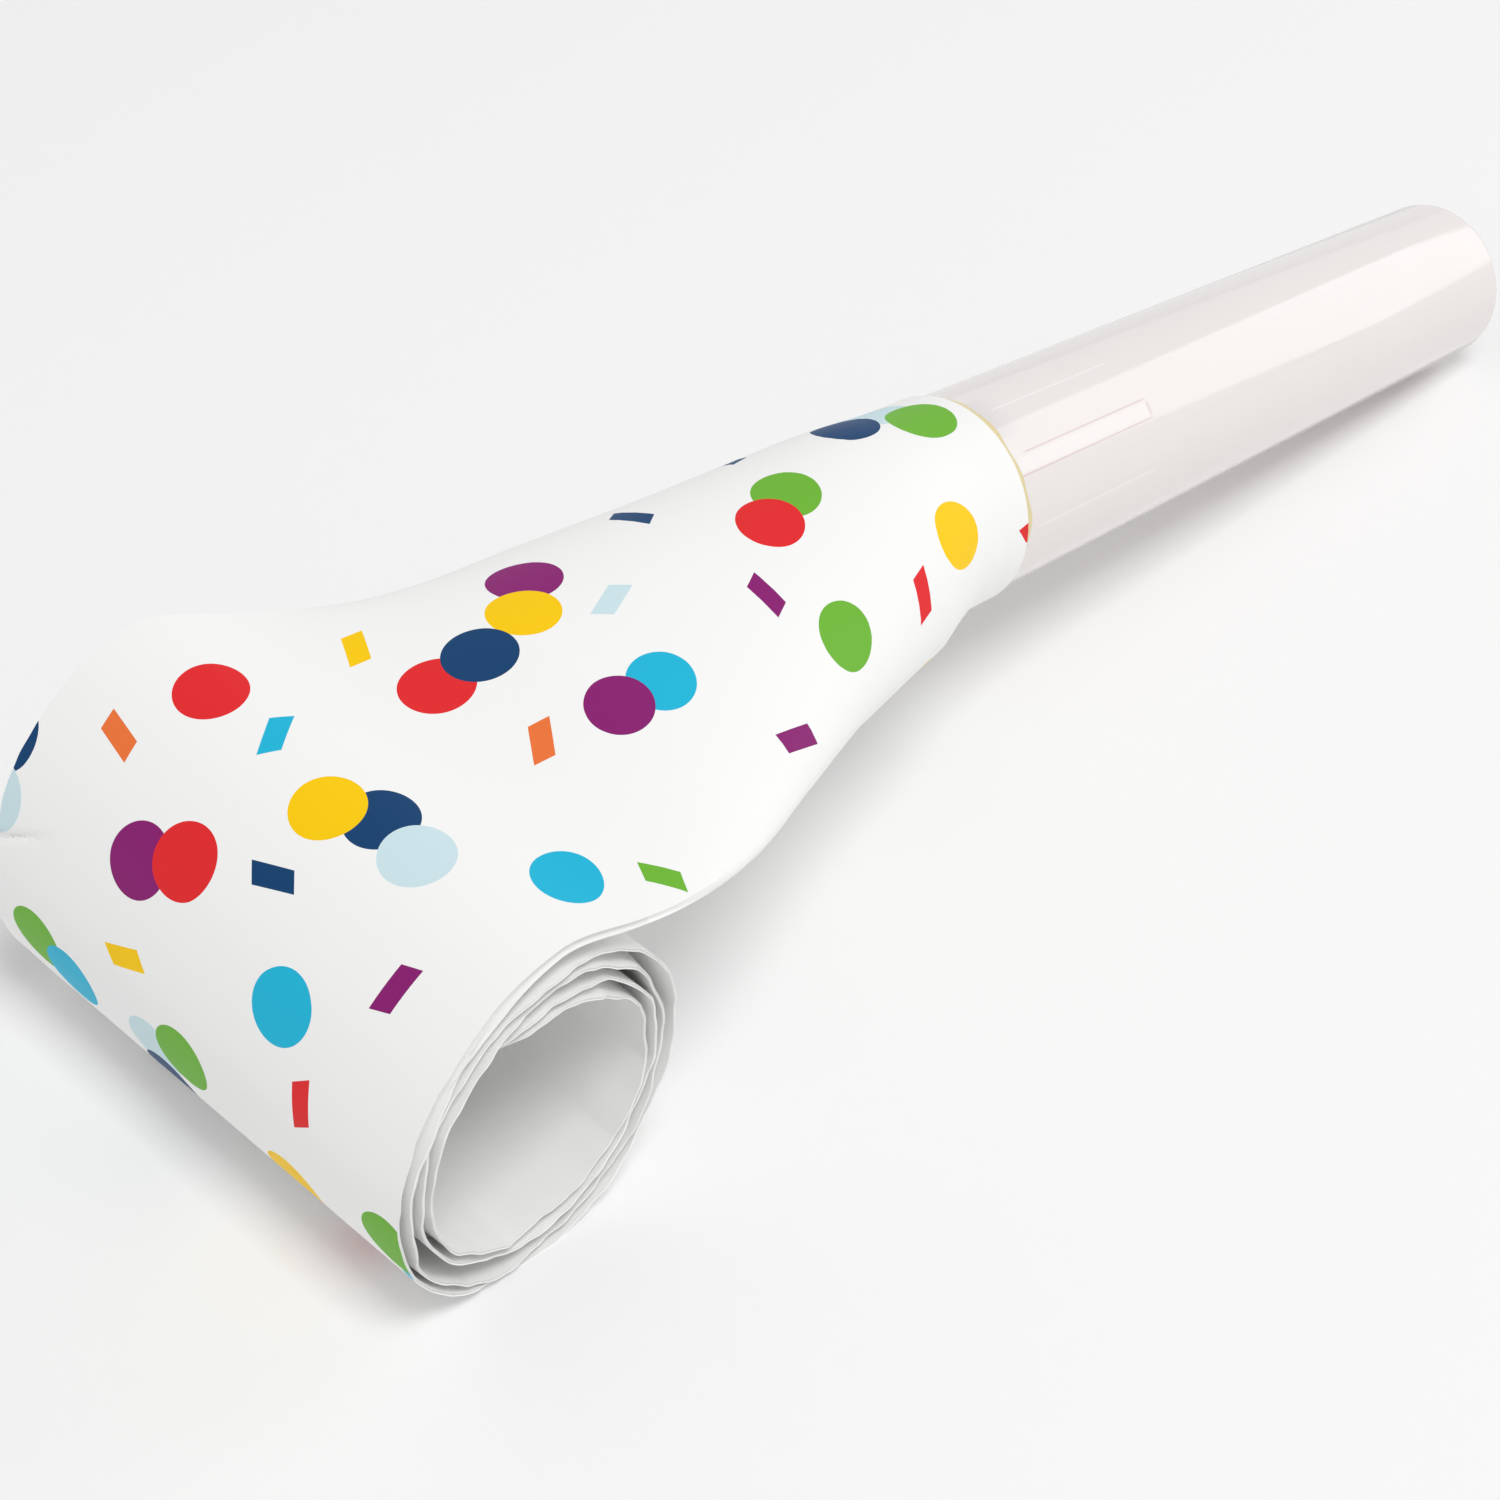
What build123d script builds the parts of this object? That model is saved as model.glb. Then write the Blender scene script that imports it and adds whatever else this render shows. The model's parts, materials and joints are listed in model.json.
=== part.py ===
from build123d import *
import math
import os

# A party horn blower, lying on a table on its rolled paper and its lip.
# The horn is drawn along its own axis: X runs from the paper's edge at 0 to the lip, Y across the strip and
# Z up. Then it is laid down, and moved so that the middle of its underside is at the origin.

# Driving dimensions, in millimetres and degrees
LAY_ANGLE = 10.0
MOUTH_LENGTH = 55.8
SPIGOT_LENGTH = 6.0
EDGE_RADIUS = 6.5
LIP_RADIUS = 5.6
LIP_ROUNDING = 0.48
BORE_RADIUS = 4.6
SEAT_RADIUS = 5.2
SEAT_END = 12.6
SEAT_STEP = 0.6

REED_ROLL = 43.0
HOLDER_START = -5.0
HOLDER_RADIUS = 4.3
HOLDER_FLANGE = 2.0
RIB_COUNT = 6
RIB_WIDTH = 1.3
RIB_FIRST_ANGLE = 30.0
FLAT_DEPTH = 1.4
FLAT_START = -1.5
SLOT_WIDTH = 3.0
SLOT_DEPTH = 2.6
SLOT_END = 10.3
TONGUE_WIDTH = 4.2
TONGUE_THICKNESS = 0.15
TONGUE_ROOT = 1.0
TONGUE_END = 11.6
TONGUE_TILT = 2.6
TONGUE_PLAY = 0.06
CLAMP_END = 2.0
CUT_OVER = 1.0

COLLAR_LENGTH = 3.0
GLUE_THICKNESS = 0.08
GLUE_BEAD = 0.5

PAPER_THICKNESS = 0.15
STRIP_WIDTH = 33.8
STRIP_THICKNESS = 0.6
SIDE_TUCK = 1.5
CREASE_GAP = 0.4
COIL_CENTRE_X = -48.6
COIL_HALF_LENGTH = 10.4
COIL_HALF_HEIGHT = 12.1
TURN_PITCH = 1.65
ROUNDER_PER_TURN = 0.35
OUTER_PANELS = 13
INNER_PANELS = 13
INNER_PANELS_PER_TURN = 11
LOWEST_PANEL = OUTER_PANELS // 2
FOLD_LENGTH = 3.6
WIRE_RADIUS = 0.12
WIRE_SIDES = 6
WIRE_BEND = 0.6
WIRE_TAIL = 8.0

# The neck between the collar and the coil: place along the horn, half widths on the near and far side,
# half height, and height of the middle above the horn's axis
NECK_SECTIONS = [
    (-9.0, 8.8, 7.7, 7.3, -0.4),
    (-20.0, 11.5, 9.5, 6.2, -1.0),
    (-28.0, 14.4, 10.6, 4.9, -1.0),
    (-35.5, 17.0, 11.4, 3.4, -0.9),
    (-42.0, 17.9, 13.4, 1.9, -0.6),
]
NECK_STEPS = 3
NECK_SIDES = 28


def spigot_radius(x):
    """Outside radius of the mouthpiece, a straight taper from the spigot to the lip."""
    return EDGE_RADIUS + (LIP_RADIUS - EDGE_RADIUS) * x / MOUTH_LENGTH


def crease_points():
    """Creases of the rolled strip as (x, z) from the coil's centre, from the neck to the tip.

    Each turn is an oval that is smaller by the pitch and a little rounder than the one outside it.
    """
    points = []
    turned = 0.0
    for k in range(OUTER_PANELS + INNER_PANELS + 1):
        turns = turned / 360
        mean = (COIL_HALF_LENGTH + COIL_HALF_HEIGHT) / 2 - TURN_PITCH * turns
        oval = (COIL_HALF_HEIGHT - COIL_HALF_LENGTH) / 2 * (1 - ROUNDER_PER_TURN * turns)
        half_length, half_height = mean - oval, mean + oval
        normal = math.radians(90 + LAY_ANGLE + turned)
        u = math.atan2(half_height * math.sin(normal), half_length * math.cos(normal))
        points.append((half_length * math.cos(u), half_height * math.sin(u)))
        turned += 360 / (OUTER_PANELS if k < OUTER_PANELS else INNER_PANELS_PER_TURN)
    return points


def laid_flat(points):
    """The same creases, turned a little so that the lowest panel lies flat on the table."""
    (x0, z0), (x1, z1) = points[LOWEST_PANEL : LOWEST_PANEL + 2]
    turn = math.radians(LAY_ANGLE) - math.atan2(z1 - z0, x1 - x0)
    c, s = math.cos(turn), math.sin(turn)
    return [(x * c - z * s, x * s + z * c) for x, z in points]


def table_height(x, z):
    """Height of a point once the horn is laid down, before it is moved to the origin."""
    return z * math.cos(math.radians(LAY_ANGLE)) - x * math.sin(math.radians(LAY_ANGLE))


# The coil's height on the horn follows from the table: its lowest panel lies level with the lip
offsets = laid_flat(crease_points())
panel_low = table_height(*offsets[LOWEST_PANEL]) - STRIP_THICKNESS / 2
lip_low = table_height(MOUTH_LENGTH - LIP_ROUNDING, LIP_ROUNDING - LIP_RADIUS) - LIP_ROUNDING
coil_centre_z = (lip_low - panel_low - table_height(COIL_CENTRE_X, 0)) / math.cos(math.radians(LAY_ANGLE))
creases = [(COIL_CENTRE_X + x, coil_centre_z + z) for x, z in offsets]


def make_mouthpiece():
    """Conical tube with a rounded lip, a straight air bore and a wider seat for the reed."""
    seat_front = SEAT_END + SEAT_STEP
    with BuildPart() as tube:
        with BuildSketch(Plane.XZ) as wall:
            with BuildLine():
                Polyline(
                    (-SPIGOT_LENGTH, SEAT_RADIUS),
                    (SEAT_END, SEAT_RADIUS),
                    (seat_front, BORE_RADIUS),
                    (MOUTH_LENGTH, BORE_RADIUS),
                    (MOUTH_LENGTH, LIP_RADIUS),
                    (-SPIGOT_LENGTH, spigot_radius(-SPIGOT_LENGTH)),
                    close=True,
                )
            make_face()
            fillet(wall.vertices().group_by(Axis.X)[-1], LIP_ROUNDING)
        revolve(axis=Axis.X)
    return tube.part


def reed_cylinder(radius, start, end):
    """Solid round bar along the horn's axis."""
    return extrude(Plane.YZ.offset(start) * Circle(radius), end - start)


def block(x_range, y_half, z_range):
    """Box across the horn's axis, given by its ends."""
    size = (x_range[1] - x_range[0], 2 * y_half, z_range[1] - z_range[0])
    middle = ((x_range[0] + x_range[1]) / 2, 0, (z_range[0] + z_range[1]) / 2)
    return Pos(*middle) * Box(*size)


def make_reed_holder():
    """Ribbed plug with a flat, and a slot in the flat that leads the air out of its base."""
    body = reed_cylinder(HOLDER_RADIUS, HOLDER_START, SEAT_END)
    body += reed_cylinder(SEAT_RADIUS, HOLDER_START, HOLDER_START + HOLDER_FLANGE)
    ribs = [
        Rot(RIB_FIRST_ANGLE + 360 / RIB_COUNT * k, 0, 0)
        * Pos((HOLDER_START + SEAT_END) / 2, SEAT_RADIUS / 2 + CUT_OVER, 0)
        * Box(SEAT_END - HOLDER_START, SEAT_RADIUS, RIB_WIDTH)
        for k in range(RIB_COUNT)
    ]
    body += ribs
    body &= reed_cylinder(SEAT_RADIUS, HOLDER_START, SEAT_END)
    outside = SEAT_RADIUS + CUT_OVER
    body -= block((FLAT_START, SEAT_END + CUT_OVER), outside, (-outside, -FLAT_DEPTH))
    slot_start = HOLDER_START - CUT_OVER
    body -= block((slot_start, SLOT_END), SLOT_WIDTH / 2, (-FLAT_DEPTH, SLOT_DEPTH - FLAT_DEPTH))
    return body


def make_reed_tongue():
    """Thin strip under the holder's flat, drawn closed and then tilted open about its root."""
    top = -FLAT_DEPTH - TONGUE_PLAY
    strip = block((CLAMP_END - TONGUE_ROOT, TONGUE_END), TONGUE_WIDTH / 2, (top - TONGUE_THICKNESS, top))
    corners = strip.edges().filter_by(Axis.Z).group_by(Axis.X)[-1]
    strip = fillet(corners, TONGUE_WIDTH / 4)
    return reed_pivot * Rot(0, TONGUE_TILT, 0) * reed_pivot.inverse() * strip


def make_reed_clamp():
    """Wedge between the flat and the seat, notched for the root of the tongue."""
    wedge = reed_cylinder(SEAT_RADIUS, FLAT_START, CLAMP_END)
    outside = SEAT_RADIUS + CUT_OVER
    wedge -= block((FLAT_START - CUT_OVER, CLAMP_END + CUT_OVER), outside, (-FLAT_DEPTH, outside))
    notch_depth = TONGUE_THICKNESS + 3 * TONGUE_PLAY
    notch = block(
        (CLAMP_END - TONGUE_ROOT - TONGUE_PLAY, CLAMP_END + CUT_OVER),
        TONGUE_WIDTH / 2 + TONGUE_PLAY,
        (-FLAT_DEPTH - notch_depth, 0),
    )
    return wedge - notch


def taper_ring(start, end, lift, thickness):
    """Thin ring that follows the taper of the mouthpiece."""
    with BuildPart() as ring:
        with BuildSketch(Plane.XZ):
            with BuildLine():
                Polyline(
                    (start, spigot_radius(start) + lift),
                    (end, spigot_radius(end) + lift),
                    (end, spigot_radius(end) + lift + thickness),
                    (start, spigot_radius(start) + lift + thickness),
                    close=True,
                )
            make_face()
        revolve(axis=Axis.X)
    return ring.part


def neck_face(x, near, far, half_height, middle_z):
    """Section of the neck: an oval of flat sides, wider on the near side than on the far one."""
    corners = []
    for k in range(NECK_SIDES):
        angle = 2 * math.pi * k / NECK_SIDES
        side = far if math.cos(angle) > 0 else near
        corners.append((side * math.cos(angle), half_height * math.sin(angle)))
    return Plane((x, 0, middle_z), x_dir=(0, 1, 0), z_dir=(1, 0, 0)) * Polygon(*corners, align=None)


def neck_rows():
    """Sections from the collar to the strip, with steps between them on smooth curves through all rows."""
    strip_x, strip_z = creases[0]
    collar_radius = spigot_radius(-COLLAR_LENGTH) + GLUE_THICKNESS + PAPER_THICKNESS
    half_width, half_thickness = STRIP_WIDTH / 2, STRIP_THICKNESS / 2
    rows = [(-COLLAR_LENGTH, collar_radius, collar_radius, collar_radius, 0)]
    rows += NECK_SECTIONS
    rows.append((strip_x + CREASE_GAP / 2, half_width, half_width, half_thickness, strip_z))
    smooth = []
    for k in range(len(rows) - 1):
        around = rows[max(k - 1, 0)], rows[k], rows[k + 1], rows[min(k + 2, len(rows) - 1)]
        for step in range(NECK_STEPS):
            t = step / NECK_STEPS
            smooth.append([
                b + t / 2 * (c - a + t * (2 * a - 5 * b + 4 * c - d + t * (3 * (b - c) + d - a)))
                for a, b, c, d in zip(*around)
            ])
    return smooth + rows[-1:]


def make_paper_neck():
    """Collar glued to the spigot, then the puffed sleeve that flattens to the strip."""
    outside = []
    inside = []
    for x, near, far, half_height, middle_z in neck_rows():
        outside.append(neck_face(x, near, far, half_height, middle_z))
        inner_sizes = [size - PAPER_THICKNESS for size in (near, far, half_height)]
        inside.append(neck_face(x, *inner_sizes, middle_z))
    sleeve = loft(outside, ruled=True) - loft(inside, ruled=True)
    return sleeve + taper_ring(-COLLAR_LENGTH, 0, GLUE_THICKNESS, PAPER_THICKNESS)


def along(a, b, distance):
    """Point in the coil's plane at a distance from a on the way to b."""
    share = distance / math.dist(a, b)
    return (a[0] + (b[0] - a[0]) * share, a[1] + (b[1] - a[1]) * share)


def panel_section():
    """Flattened paper tube: an upper and a lower ply, with both sides tucked in between them."""
    half_width, half_thickness = STRIP_WIDTH / 2, STRIP_THICKNESS / 2
    with BuildSketch() as section:
        with BuildLine():
            Polyline(
                (half_width, half_thickness),
                (half_width - SIDE_TUCK, 0),
                (half_width, -half_thickness),
                (-half_width, -half_thickness),
                (SIDE_TUCK - half_width, 0),
                (-half_width, half_thickness),
                close=True,
            )
        make_face()
        offset(amount=-PAPER_THICKNESS, kind=Kind.INTERSECTION, mode=Mode.SUBTRACT)
    return section.sketch


def turn_gap():
    """Least clear space between one turn of the strip and the next."""
    gaps = []
    for k, (x, z) in enumerate(creases):
        for j, ((ax, az), (bx, bz)) in enumerate(zip(creases, creases[1:])):
            if abs(j - k) < OUTER_PANELS // 2:
                continue
            run_x, run_z = bx - ax, bz - az
            share = ((x - ax) * run_x + (z - az) * run_z) / (run_x**2 + run_z**2)
            share = min(max(share, 0), 1)
            gaps.append(math.dist((x, z), (ax + share * run_x, az + share * run_z)))
    return min(gaps) - STRIP_THICKNESS


def make_panel(a, b):
    """Flattened tube between two creases, open at both ends."""
    start = along(a, b, CREASE_GAP / 2)
    run = (b[0] - a[0], 0, b[1] - a[1])
    plane = Plane((start[0], 0, start[1]), x_dir=(0, 1, 0), z_dir=run)
    return extrude(plane * panel_section(), math.dist(a, b) - CREASE_GAP)


def make_end_fold(a, b):
    """Closed tip: two plies folded over the end of the last panel and back along its inner face."""
    ply = 2 * PAPER_THICKNESS
    end = math.dist(a, b) - CREASE_GAP / 2
    half = STRIP_THICKNESS / 2
    plane = Plane((a[0], 0, a[1]), x_dir=(b[0] - a[0], 0, b[1] - a[1]), z_dir=(0, -1, 0))
    with BuildPart() as fold:
        with BuildSketch(plane):
            with BuildLine():
                Polyline(
                    (end, -half),
                    (end + ply, -half),
                    (end + ply, half + ply),
                    (end - FOLD_LENGTH, half + ply),
                    (end - FOLD_LENGTH, half),
                    (end, half),
                    close=True,
                )
            make_face()
        extrude(amount=STRIP_WIDTH / 2 - STRIP_THICKNESS / 2, both=True)
    return fold.part


def make_coil_wire():
    """Spring wire through the neck's flat end and every panel, bent at the creases."""
    start = (creases[0][0] + WIRE_TAIL, creases[0][1])
    end = along(creases[-2], creases[-1], math.dist(creases[-2], creases[-1]) - CREASE_GAP)
    route = [start] + creases[:-1] + [end]
    with BuildPart() as wire:
        with BuildLine() as path:
            FilletPolyline(*[(x, 0, z) for x, z in route], radius=WIRE_BEND)
        with BuildSketch(Plane(path.line @ 0, z_dir=path.line % 0)):
            RegularPolygon(WIRE_RADIUS, WIRE_SIDES)
        sweep()
    return wire.part


# The tongue turns about the middle of its pinched root
reed_pivot = Pos(CLAMP_END - TONGUE_ROOT / 2, 0, -FLAT_DEPTH - TONGUE_PLAY - TONGUE_THICKNESS / 2)
reed_place = Rot(REED_ROLL, 0, 0)

pieces = {
    "mouthpiece": make_mouthpiece(),
    "reed_holder": reed_place * make_reed_holder(),
    "reed_tongue": reed_place * make_reed_tongue(),
    "reed_clamp": reed_place * make_reed_clamp(),
    "glue_band": taper_ring(-COLLAR_LENGTH, GLUE_BEAD, 0, GLUE_THICKNESS),
    "paper_neck": make_paper_neck(),
}
for number, (a, b) in enumerate(zip(creases, creases[1:]), 1):
    pieces[f"panel_{number:02d}"] = make_panel(a, b)
pieces["end_fold"] = make_end_fold(creases[-2], creases[-1])
pieces["coil_wire"] = make_coil_wire()

# Lay the horn down, and put the middle of its underside at the origin
laid = {name: Rot(0, LAY_ANGLE, 0) * piece for name, piece in pieces.items()}
boxes = [piece.bounding_box() for piece in laid.values()]
low = [min(axes) for axes in zip(*(tuple(box.min) for box in boxes))]
high = [max(axes) for axes in zip(*(tuple(box.max) for box in boxes))]
shift = Pos(-(low[0] + high[0]) / 2, -(low[1] + high[1]) / 2, -low[2])
to_table = shift * Rot(0, LAY_ANGLE, 0)

os.makedirs("parts", exist_ok=True)
for name, piece in laid.items():
    export_step(shift * piece, f"parts/{name}.step")
print("size", [round(b - a, 2) for a, b in zip(low, high)], "gap between turns", round(turn_gap(), 2))
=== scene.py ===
import json
import math
import random
from collections import namedtuple

import bmesh
import bpy
from mathutils import Euler, Matrix, Vector


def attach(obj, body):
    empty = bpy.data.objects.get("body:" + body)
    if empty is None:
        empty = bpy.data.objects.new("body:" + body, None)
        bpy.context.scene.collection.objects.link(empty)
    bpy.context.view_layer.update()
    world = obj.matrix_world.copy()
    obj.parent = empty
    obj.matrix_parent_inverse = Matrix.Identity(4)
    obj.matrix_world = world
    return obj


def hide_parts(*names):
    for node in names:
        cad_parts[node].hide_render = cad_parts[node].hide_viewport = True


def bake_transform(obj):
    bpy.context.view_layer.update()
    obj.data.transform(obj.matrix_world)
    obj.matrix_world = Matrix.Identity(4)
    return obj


# A party horn blower on a white table: a printed paper tube, rolled up, on a translucent mouthpiece
# with a reed. Sizes are in millimetres in the horn's own frame, as the part is drawn: X from the
# paper's edge to the lip, Y across the strip and Z up. place() lays a point on the table, in metres.
# Places along the strip are counted in panels, from 0 at the first crease.

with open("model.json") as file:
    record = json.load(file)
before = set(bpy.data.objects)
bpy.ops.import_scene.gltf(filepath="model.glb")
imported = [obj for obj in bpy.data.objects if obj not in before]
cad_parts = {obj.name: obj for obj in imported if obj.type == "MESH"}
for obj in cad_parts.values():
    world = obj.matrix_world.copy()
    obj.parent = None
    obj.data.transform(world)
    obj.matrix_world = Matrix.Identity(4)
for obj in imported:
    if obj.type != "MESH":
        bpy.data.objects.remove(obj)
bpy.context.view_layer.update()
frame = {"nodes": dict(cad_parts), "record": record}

MM = 0.001
LAY_ANGLE = math.radians(10)
FIRST_CREASE = Vector((-49.707, 0.0, -0.636))
joints = {joint["name"]: joint for joint in frame["record"]["behaviour"]["joints"]}
LAID = Matrix.Rotation(LAY_ANGLE, 4, "Y")
HORN_ORIGIN = Vector(joints["crease_01"]["pos_m"]) / MM - LAID @ FIRST_CREASE
TO_TABLE = Matrix.Scale(MM, 4) @ Matrix.Translation(HORN_ORIGIN) @ LAID

# Mouthpiece
MOUTH_LENGTH = 55.8
SPIGOT_LENGTH = 6.0
EDGE_RADIUS = 6.5
LIP_RADIUS = 5.6
BORE_RADIUS = 4.6
SEAT_RADIUS = 5.2
SEAT_END = 12.6
SEAT_STEP = 0.6
LIP_ARC_STEPS = 8
ROUND_STEPS = 144

# Paper: one ply, the collar on the glue, and the flat strip. Panels of the inner turns bend less
# between their creases: the share of a straight panel, and where it comes in.
PLY = 0.17
GLUE_LIFT = 0.08
COLLAR_LENGTH = 3.0
STRIP_HALF_WIDTH = 16.9
STRIP_HALF_THICKNESS = 0.3
PANEL_COUNT = 26
STRIP_END = Vector((-55.702, -10.31))
INNER_STRAIGHT = 0.3
INNER_TURNS = (11, 16)
SLOPE_STEP = 0.07
STEPS_PER_PANEL = 24
SHARP_ANGLE = math.radians(38)

# Doubled points are welded within these distances, in metres
PAPER_WELD = 1e-6
FINE_WELD = 1e-7

# Neck: place along the horn, near and far half width, half height and middle height of its sections,
# and the length that counts as a panel before the first crease
NECK_PANEL = 4.6
NECK_STEPS = 150
COLLAR_INSIDE = 1.0
NECK_ROWS = [
    (-9.0, 8.8, 7.7, 7.3, -0.4),
    (-20.0, 11.5, 9.5, 6.2, -1.0),
    (-28.0, 14.4, 10.6, 4.9, -1.0),
    (-35.5, 17.0, 11.4, 3.4, -0.9),
    (-42.0, 17.9, 13.4, 1.9, -0.6),
]

# Tip: where the strip begins to narrow, by how much on each side, and the fold that closes it. The
# turn of the fold takes FOLD_TURN panels.
TIP_START = 24.2
TIP_SET_BACK = 2.2
FOLD_LENGTH = 3.6
FOLD_RADIUS = 0.24
FOLD_TURN = 0.1
TIP_STEPS = 12
TURN_STEPS = 8

# Wire
WIRE_RADIUS = 0.12
WIRE_STEPS = 12
WIRE_SIDES = 8


def hex_colour(code):
    """Linear colour of an sRGB hex value."""
    values = [int(code[k : k + 2], 16) / 255 for k in (1, 3, 5)]
    return [v / 12.92 if v <= 0.04045 else ((v + 0.055) / 1.055) ** 2.4 for v in values] + [1.0]


def place(x, y, z):
    """A point of the horn, laid on the table."""
    return TO_TABLE @ Vector((x, y, z))


def smoothstep(start, end, value):
    """0 before start, 1 after end, and a smooth rise between them."""
    t = min(max((value - start) / (end - start), 0.0), 1.0)
    return t * t * (3 - 2 * t)


def through(a, b, c, d, t):
    """Smooth curve from b to c, with a before and d after them."""
    return b + t / 2 * (c - a + t * (2 * a - 5 * b + 4 * c - d + t * (3 * (b - c) + d - a)))


def spigot_radius(x):
    """Outside radius of the mouthpiece, a straight taper from the spigot to the lip."""
    return EDGE_RADIUS + (LIP_RADIUS - EDGE_RADIUS) * x / MOUTH_LENGTH


# Creases of the strip, read from the joints, from the neck to the tip, and then the strip's end
TO_HORN = TO_TABLE.inverted()
creases = []
for number in range(1, PANEL_COUNT + 1):
    point = TO_HORN @ Vector(joints[f"crease_{number:02d}"]["pos_m"])
    creases.append(Vector((point.x, point.z)))
creases.append(STRIP_END)
collar_size = spigot_radius(-COLLAR_LENGTH) + GLUE_LIFT + PLY
neck_rows = [(-COLLAR_LENGTH, collar_size, collar_size, collar_size, 0.0)] + NECK_ROWS
neck_rows.append(
    (creases[0].x, STRIP_HALF_WIDTH, STRIP_HALF_WIDTH, STRIP_HALF_THICKNESS, creases[0].y)
)


def neck_sizes(x):
    """Near and far half width, half height and middle height of the neck at a place along the horn."""
    if x >= -COLLAR_LENGTH:
        radius = spigot_radius(x) + GLUE_LIFT + PLY
        return radius, radius, radius, 0.0
    last = len(neck_rows) - 1
    k = next(k for k in range(last) if x >= neck_rows[k + 1][0] or k == last - 1)
    around = [neck_rows[i] for i in (max(k - 1, 0), k, k + 1, min(k + 2, last))]
    t = (x - around[1][0]) / (around[2][0] - around[1][0])
    return [through(*values, t) for values in list(zip(*around))[1:]]


def neck_x(s):
    """Place along the horn of a point of the neck, where s is below 0."""
    return creases[0].x - s * NECK_PANEL


def centre_point(s):
    """Middle line of the paper as (x, z). s counts panels, from 0 at the first crease."""
    if s < -1:
        x = neck_x(s)
        return Vector((x, neck_sizes(x)[3]))
    k = min(math.floor(s), PANEL_COUNT - 1)
    t = s - k

    def knot(i):
        if i < 0:
            return Vector((neck_x(i), neck_sizes(neck_x(i))[3]))
        if i > PANEL_COUNT:
            return 2 * creases[PANEL_COUNT] - creases[PANEL_COUNT - 1]
        return creases[i]

    smooth = through(knot(k - 1), knot(k), knot(k + 1), knot(k + 2), t)
    chord = knot(k).lerp(knot(k + 1), t)
    round_share = 1 - INNER_STRAIGHT * smoothstep(*INNER_TURNS, s)
    return chord.lerp(smooth, round_share)


def outward(s):
    """Direction out of the coil at s."""
    run = centre_point(s + SLOPE_STEP) - centre_point(s - SLOPE_STEP)
    return Vector((run.y, -run.x)).normalized()


def ripple(s, waves):
    """Small uneven waves at s: size, length of a wave and start of each."""
    return sum(size * math.sin(2 * math.pi * (s / length + start)) for size, length, start in waves)


# Stations round the tube's section: share of the half width, share of the tuck, share of the thickness
# from the inner face, offset in plies, degrees on the neck's round section, and 1 on the outer face.
# The outer face has finer ones by its far edge, where it is wrinkled.
Station = namedtuple("Station", "share tuck layer ply angle outer")
TOP_STEPS = 28
FINE_START = 0.7
FINE_STEP = 0.018
FINE_STEPS = 16
TOP_SHARES = [2 * k / TOP_STEPS - 1 for k in range(1, TOP_STEPS)]
TOP_SHARES += [FINE_START + FINE_STEP * k for k in range(FINE_STEPS)]
TOP_SHARES.sort()
BASE_STEPS = 14
TUCK_ANGLE = 7.0

# Stations of a tucked-in side from the inner face to the outer one: share of the tuck, share of the
# thickness, offset in plies, and share of TUCK_ANGLE
EDGE_STATIONS = [
    (0.0, 0.0, 0.0, -1.0),
    (-0.05, 0.0, 0.5, -0.8),
    (0.0, 0.0, 1.0, -0.6),
    (0.55, 0.22, 0.4, -0.4),
    (1.0, 0.5, -0.12, -0.1),
    (1.0, 0.5, 0.12, 0.1),
    (0.55, 0.78, -0.4, 0.4),
    (0.0, 1.0, -1.0, 0.6),
    (-0.05, 1.0, -0.5, 0.8),
    (0.0, 1.0, 0.0, 1.0),
]


def stations():
    """The closed loop, from the middle of the inner face by the near edge and the outer face and back."""
    loop = []
    face_angle = 90 - TUCK_ANGLE
    for k in range(BASE_STEPS):
        share = k / BASE_STEPS
        loop.append(Station(-share, 0.0, 0.0, 0.0, 270 - face_angle * share, 0.0))
    for tuck, layer, ply, turn in EDGE_STATIONS:
        loop.append(Station(-1.0, tuck, layer, ply, 180 - TUCK_ANGLE * turn, float(turn == 1.0)))
    for share in TOP_SHARES:
        loop.append(Station(share, 0.0, 1.0, 0.0, 90 - face_angle * share, 1.0))
    for tuck, layer, ply, turn in reversed(EDGE_STATIONS):
        loop.append(Station(1.0, tuck, layer, ply, TUCK_ANGLE * turn, float(turn == 1.0)))
    for k in range(BASE_STEPS + 1):
        share = 1 - k / BASE_STEPS
        loop.append(Station(share, 0.0, 0.0, 0.0, -TUCK_ANGLE - face_angle * (1 - share), 0.0))
    return loop


LOOP = stations()

# Faces of the rolled strip: their heights over and under its middle line, their waves, and the panels
# over which they begin. The inner face is looser or tighter on some stretches: by how much, where that
# comes in and where it goes. At the tip both plies lie on each other.
STRIP_START = (-0.5, 1.5)
OUTER_FACE = 0.32
OUTER_WAVES = [(0.03, 3.7, 0.1), (0.02, 1.9, 0.6)]
INNER_FACE = 0.62
INNER_WAVES = [(0.07, 4.3, 0.35), (0.05, 2.3, 0.8)]
INNER_WAVES_START = (1, 3)
LOOSE_STRETCHES = [
    (0.24, (-0.5, 1.0), (2.0, 3.6)),
    (-0.26, (3.4, 4.6), (6.0, 7.4)),
    (0.16, (6.4, 8), (12, 15)),
]
TIP_FACE = 0.68
TIP_PLIES = 2.1


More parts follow.
